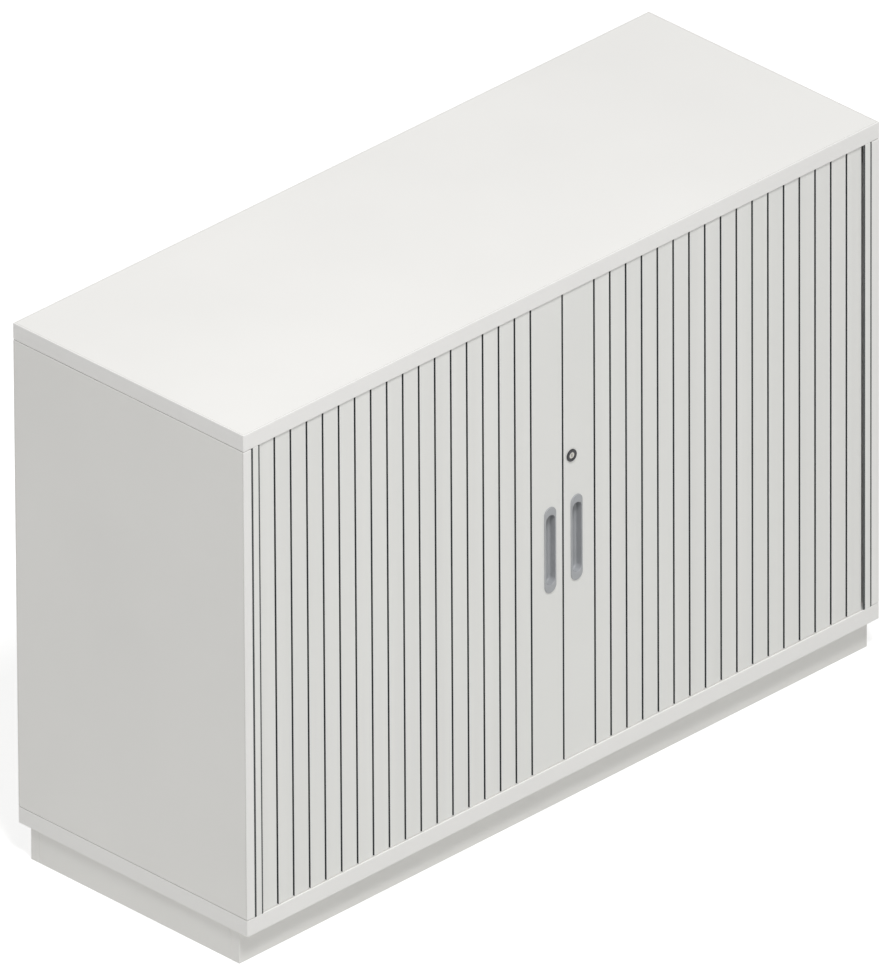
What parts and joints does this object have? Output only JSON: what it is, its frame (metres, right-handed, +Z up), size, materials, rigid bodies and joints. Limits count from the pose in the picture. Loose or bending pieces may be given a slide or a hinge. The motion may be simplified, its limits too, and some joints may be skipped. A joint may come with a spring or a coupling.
{
  "type": "tambour door cabinet",
  "caption": "Low storage cabinet with slatted tambour doors that slide apart into end pockets, recessed pulls, a hook lock, an inner shelf and a recessed plinth.",
  "frame": {"origin": "on the floor, under the middle of the cabinet's box", "axes": "+X to the right seen from the front, +Y to the back, +Z up; the doors face -Y"},
  "size_m": [1.2, 0.436, 0.818],
  "materials": {
    "carcass_board": "white melamine-faced board, fine matt grain",
    "plinth_board": "white melamine-faced board",
    "back_board": "thin white-faced fibreboard",
    "slat_plastic": "pale extruded slats, satin",
    "lead_board": "fibreboard wrapped in the slats' pale foil",
    "jamb_strip": "extruded white angle",
    "pull_plastic": "moulded grey plastic, fine texture",
    "lock_metal": "satin nickel plate",
    "rail_aluminium": "plain extruded angle"
  },
  "bodies": {
    "cabinet": {"base_panel": "carcass_board", "top_panel": "carcass_board", "back_panel": "back_board", "inner_back": "back_board", "shelf": "carcass_board", "plinth_front": "plinth_board", "plinth_back": "plinth_board", "left_side_panel": "carcass_board", "left_jamb": "jamb_strip", "left_liner": "carcass_board", "left_shelf_rail": "rail_aluminium", "plinth_left": "plinth_board", "right_side_panel": "carcass_board", "right_jamb": "jamb_strip", "right_liner": "carcass_board", "right_shelf_rail": "rail_aluminium", "plinth_right": "plinth_board"},
    "left_door": {"left_lead_stile": "lead_board", "left_slat_17": "slat_plastic", "left_pull": "pull_plastic", "lock_strike": "lock_metal"},
    "right_door": {"right_lead_stile": "lead_board", "right_slat_17": "slat_plastic", "right_pull": "pull_plastic", "lock_barrel": "lock_metal", "lock_nut": "lock_metal"},
    "lock_cylinder": {"lock_plug": "lock_metal", "lock_hook": "lock_metal"},
    "left_slat_01": {"left_slat_01": "slat_plastic"},
    "left_slat_02": {"left_slat_02": "slat_plastic"},
    "left_slat_03": {"left_slat_03": "slat_plastic"},
    "left_slat_04": {"left_slat_04": "slat_plastic"},
    "left_slat_05": {"left_slat_05": "slat_plastic"},
    "left_slat_06": {"left_slat_06": "slat_plastic"},
    "left_slat_07": {"left_slat_07": "slat_plastic"},
    "left_slat_08": {"left_slat_08": "slat_plastic"},
    "left_slat_09": {"left_slat_09": "slat_plastic"},
    "left_slat_10": {"left_slat_10": "slat_plastic"},
    "left_slat_11": {"left_slat_11": "slat_plastic"},
    "left_slat_12": {"left_slat_12": "slat_plastic"},
    "left_slat_13": {"left_slat_13": "slat_plastic"},
    "left_slat_14": {"left_slat_14": "slat_plastic"},
    "left_slat_15": {"left_slat_15": "slat_plastic"},
    "left_slat_16": {"left_slat_16": "slat_plastic"},
    "right_slat_01": {"right_slat_01": "slat_plastic"},
    "right_slat_02": {"right_slat_02": "slat_plastic"},
    "right_slat_03": {"right_slat_03": "slat_plastic"},
    "right_slat_04": {"right_slat_04": "slat_plastic"},
    "right_slat_05": {"right_slat_05": "slat_plastic"},
    "right_slat_06": {"right_slat_06": "slat_plastic"},
    "right_slat_07": {"right_slat_07": "slat_plastic"},
    "right_slat_08": {"right_slat_08": "slat_plastic"},
    "right_slat_09": {"right_slat_09": "slat_plastic"},
    "right_slat_10": {"right_slat_10": "slat_plastic"},
    "right_slat_11": {"right_slat_11": "slat_plastic"},
    "right_slat_12": {"right_slat_12": "slat_plastic"},
    "right_slat_13": {"right_slat_13": "slat_plastic"},
    "right_slat_14": {"right_slat_14": "slat_plastic"},
    "right_slat_15": {"right_slat_15": "slat_plastic"},
    "right_slat_16": {"right_slat_16": "slat_plastic"}
  },
  "joints": [
    {"name": "left_door_slide", "type": "slide", "parent": "cabinet", "child": "left_door", "axis": [-1, 0, 0], "range_m": [0, 0.48]},
    {"name": "right_door_slide", "type": "slide", "parent": "cabinet", "child": "right_door", "axis": [1, 0, 0], "range_m": [0, 0.48]},
    {"name": "lock_turn", "type": "hinge", "parent": "right_door", "child": "lock_cylinder", "pos_m": [0.016, -0.2152, 0.539], "axis": [0, -1, 0], "range_deg": [0, 90]},
    {"name": "left_slat_01_slide", "type": "slide", "parent": "cabinet", "child": "left_slat_01", "axis": [-0.081, 0.9967, 0], "range_m": [0, 0.16053], "deforming": ["left_slat_01"]},
    {"name": "left_slat_02_slide", "type": "slide", "parent": "cabinet", "child": "left_slat_02", "axis": [-0.2756, 0.9613, 0], "range_m": [0, 0.15604], "deforming": ["left_slat_02"]},
    {"name": "left_slat_03_slide", "type": "slide", "parent": "cabinet", "child": "left_slat_03", "axis": [-0.4623, 0.8867, 0], "range_m": [0, 0.15789], "deforming": ["left_slat_03"]},
    {"name": "left_slat_04_slide", "type": "slide", "parent": "cabinet", "child": "left_slat_04", "axis": [-0.621, 0.7838, 0], "range_m": [0, 0.16586], "deforming": ["left_slat_04"]},
    {"name": "left_slat_05_slide", "type": "slide", "parent": "cabinet", "child": "left_slat_05", "axis": [-0.7425, 0.6699, 0], "range_m": [0, 0.17913], "deforming": ["left_slat_05"]},
    {"name": "left_slat_06_slide", "type": "slide", "parent": "cabinet", "child": "left_slat_06", "axis": [-0.8289, 0.5594, 0], "range_m": [0, 0.19664], "deforming": ["left_slat_06"]},
    {"name": "left_slat_07_slide", "type": "slide", "parent": "cabinet", "child": "left_slat_07", "axis": [-0.8879, 0.46, 0], "range_m": [0, 0.21737], "deforming": ["left_slat_07"]},
    {"name": "left_slat_08_slide", "type": "slide", "parent": "cabinet", "child": "left_slat_08", "axis": [-0.9273, 0.3743, 0], "range_m": [0, 0.24048], "deforming": ["left_slat_08"]},
    {"name": "left_slat_09_slide", "type": "slide", "parent": "cabinet", "child": "left_slat_09", "axis": [-0.9535, 0.3015, 0], "range_m": [0, 0.26535], "deforming": ["left_slat_09"]},
    {"name": "left_slat_10_slide", "type": "slide", "parent": "cabinet", "child": "left_slat_10", "axis": [-0.9707, 0.2401, 0], "range_m": [0, 0.29153], "deforming": ["left_slat_10"]},
    {"name": "left_slat_11_slide", "type": "slide", "parent": "cabinet", "child": "left_slat_11", "axis": [-0.9821, 0.1883, 0], "range_m": [0, 0.3187], "deforming": ["left_slat_11"]},
    {"name": "left_slat_12_slide", "type": "slide", "parent": "cabinet", "child": "left_slat_12", "axis": [-0.9895, 0.1442, 0], "range_m": [0, 0.34663], "deforming": ["left_slat_12"]},
    {"name": "left_slat_13_slide", "type": "slide", "parent": "cabinet", "child": "left_slat_13", "axis": [-0.9943, 0.1066, 0], "range_m": [0, 0.37514], "deforming": ["left_slat_13"]},
    {"name": "left_slat_14_slide", "type": "slide", "parent": "cabinet", "child": "left_slat_14", "axis": [-0.9972, 0.0742, 0], "range_m": [0, 0.40412], "deforming": ["left_slat_14"]},
    {"name": "left_slat_15_slide", "type": "slide", "parent": "cabinet", "child": "left_slat_15", "axis": [-0.9989, 0.0461, 0], "range_m": [0, 0.43346], "deforming": ["left_slat_15"]},
    {"name": "left_slat_16_slide", "type": "slide", "parent": "cabinet", "child": "left_slat_16", "axis": [-0.9998, 0.0216, 0], "range_m": [0, 0.46311], "deforming": ["left_slat_16"]},
    {"name": "right_slat_01_slide", "type": "slide", "parent": "cabinet", "child": "right_slat_01", "axis": [0.081, 0.9967, 0], "range_m": [0, 0.16053], "deforming": ["right_slat_01"]},
    {"name": "right_slat_02_slide", "type": "slide", "parent": "cabinet", "child": "right_slat_02", "axis": [0.2756, 0.9613, 0], "range_m": [0, 0.15604], "deforming": ["right_slat_02"]},
    {"name": "right_slat_03_slide", "type": "slide", "parent": "cabinet", "child": "right_slat_03", "axis": [0.4623, 0.8867, 0], "range_m": [0, 0.15789], "deforming": ["right_slat_03"]},
    {"name": "right_slat_04_slide", "type": "slide", "parent": "cabinet", "child": "right_slat_04", "axis": [0.621, 0.7838, 0], "range_m": [0, 0.16586], "deforming": ["right_slat_04"]},
    {"name": "right_slat_05_slide", "type": "slide", "parent": "cabinet", "child": "right_slat_05", "axis": [0.7425, 0.6699, 0], "range_m": [0, 0.17913], "deforming": ["right_slat_05"]},
    {"name": "right_slat_06_slide", "type": "slide", "parent": "cabinet", "child": "right_slat_06", "axis": [0.8289, 0.5594, 0], "range_m": [0, 0.19664], "deforming": ["right_slat_06"]},
    {"name": "right_slat_07_slide", "type": "slide", "parent": "cabinet", "child": "right_slat_07", "axis": [0.8879, 0.46, 0], "range_m": [0, 0.21737], "deforming": ["right_slat_07"]},
    {"name": "right_slat_08_slide", "type": "slide", "parent": "cabinet", "child": "right_slat_08", "axis": [0.9273, 0.3743, 0], "range_m": [0, 0.24048], "deforming": ["right_slat_08"]},
    {"name": "right_slat_09_slide", "type": "slide", "parent": "cabinet", "child": "right_slat_09", "axis": [0.9535, 0.3015, 0], "range_m": [0, 0.26535], "deforming": ["right_slat_09"]},
    {"name": "right_slat_10_slide", "type": "slide", "parent": "cabinet", "child": "right_slat_10", "axis": [0.9707, 0.2401, 0], "range_m": [0, 0.29153], "deforming": ["right_slat_10"]},
    {"name": "right_slat_11_slide", "type": "slide", "parent": "cabinet", "child": "right_slat_11", "axis": [0.9821, 0.1883, 0], "range_m": [0, 0.3187], "deforming": ["right_slat_11"]},
    {"name": "right_slat_12_slide", "type": "slide", "parent": "cabinet", "child": "right_slat_12", "axis": [0.9895, 0.1442, 0], "range_m": [0, 0.34663], "deforming": ["right_slat_12"]},
    {"name": "right_slat_13_slide", "type": "slide", "parent": "cabinet", "child": "right_slat_13", "axis": [0.9943, 0.1066, 0], "range_m": [0, 0.37514], "deforming": ["right_slat_13"]},
    {"name": "right_slat_14_slide", "type": "slide", "parent": "cabinet", "child": "right_slat_14", "axis": [0.9972, 0.0742, 0], "range_m": [0, 0.40412], "deforming": ["right_slat_14"]},
    {"name": "right_slat_15_slide", "type": "slide", "parent": "cabinet", "child": "right_slat_15", "axis": [0.9989, 0.0461, 0], "range_m": [0, 0.43346], "deforming": ["right_slat_15"]},
    {"name": "right_slat_16_slide", "type": "slide", "parent": "cabinet", "child": "right_slat_16", "axis": [0.9998, 0.0216, 0], "range_m": [0, 0.46311], "deforming": ["right_slat_16"]}
  ],
  "couplings": [
    {"joint": "left_slat_01_slide", "follows": "left_door_slide", "ratio": 0.33443},
    {"joint": "left_slat_02_slide", "follows": "left_door_slide", "ratio": 0.32509},
    {"joint": "left_slat_03_slide", "follows": "left_door_slide", "ratio": 0.32894},
    {"joint": "left_slat_04_slide", "follows": "left_door_slide", "ratio": 0.34554},
    {"joint": "left_slat_05_slide", "follows": "left_door_slide", "ratio": 0.3732},
    {"joint": "left_slat_06_slide", "follows": "left_door_slide", "ratio": 0.40968},
    {"joint": "left_slat_07_slide", "follows": "left_door_slide", "ratio": 0.45285},
    {"joint": "left_slat_08_slide", "follows": "left_door_slide", "ratio": 0.50099},
    {"joint": "left_slat_09_slide", "follows": "left_door_slide", "ratio": 0.55281},
    {"joint": "left_slat_10_slide", "follows": "left_door_slide", "ratio": 0.60735},
    {"joint": "left_slat_11_slide", "follows": "left_door_slide", "ratio": 0.66396},
    {"joint": "left_slat_12_slide", "follows": "left_door_slide", "ratio": 0.72214},
    {"joint": "left_slat_13_slide", "follows": "left_door_slide", "ratio": 0.78154},
    {"joint": "left_slat_14_slide", "follows": "left_door_slide", "ratio": 0.84191},
    {"joint": "left_slat_15_slide", "follows": "left_door_slide", "ratio": 0.90305},
    {"joint": "left_slat_16_slide", "follows": "left_door_slide", "ratio": 0.96481},
    {"joint": "right_slat_01_slide", "follows": "right_door_slide", "ratio": 0.33443},
    {"joint": "right_slat_02_slide", "follows": "right_door_slide", "ratio": 0.32509},
    {"joint": "right_slat_03_slide", "follows": "right_door_slide", "ratio": 0.32894},
    {"joint": "right_slat_04_slide", "follows": "right_door_slide", "ratio": 0.34554},
    {"joint": "right_slat_05_slide", "follows": "right_door_slide", "ratio": 0.3732},
    {"joint": "right_slat_06_slide", "follows": "right_door_slide", "ratio": 0.40968},
    {"joint": "right_slat_07_slide", "follows": "right_door_slide", "ratio": 0.45285},
    {"joint": "right_slat_08_slide", "follows": "right_door_slide", "ratio": 0.50099},
    {"joint": "right_slat_09_slide", "follows": "right_door_slide", "ratio": 0.55281},
    {"joint": "right_slat_10_slide", "follows": "right_door_slide", "ratio": 0.60735},
    {"joint": "right_slat_11_slide", "follows": "right_door_slide", "ratio": 0.66396},
    {"joint": "right_slat_12_slide", "follows": "right_door_slide", "ratio": 0.72214},
    {"joint": "right_slat_13_slide", "follows": "right_door_slide", "ratio": 0.78154},
    {"joint": "right_slat_14_slide", "follows": "right_door_slide", "ratio": 0.84191},
    {"joint": "right_slat_15_slide", "follows": "right_door_slide", "ratio": 0.90305},
    {"joint": "right_slat_16_slide", "follows": "right_door_slide", "ratio": 0.96481}
  ]
}
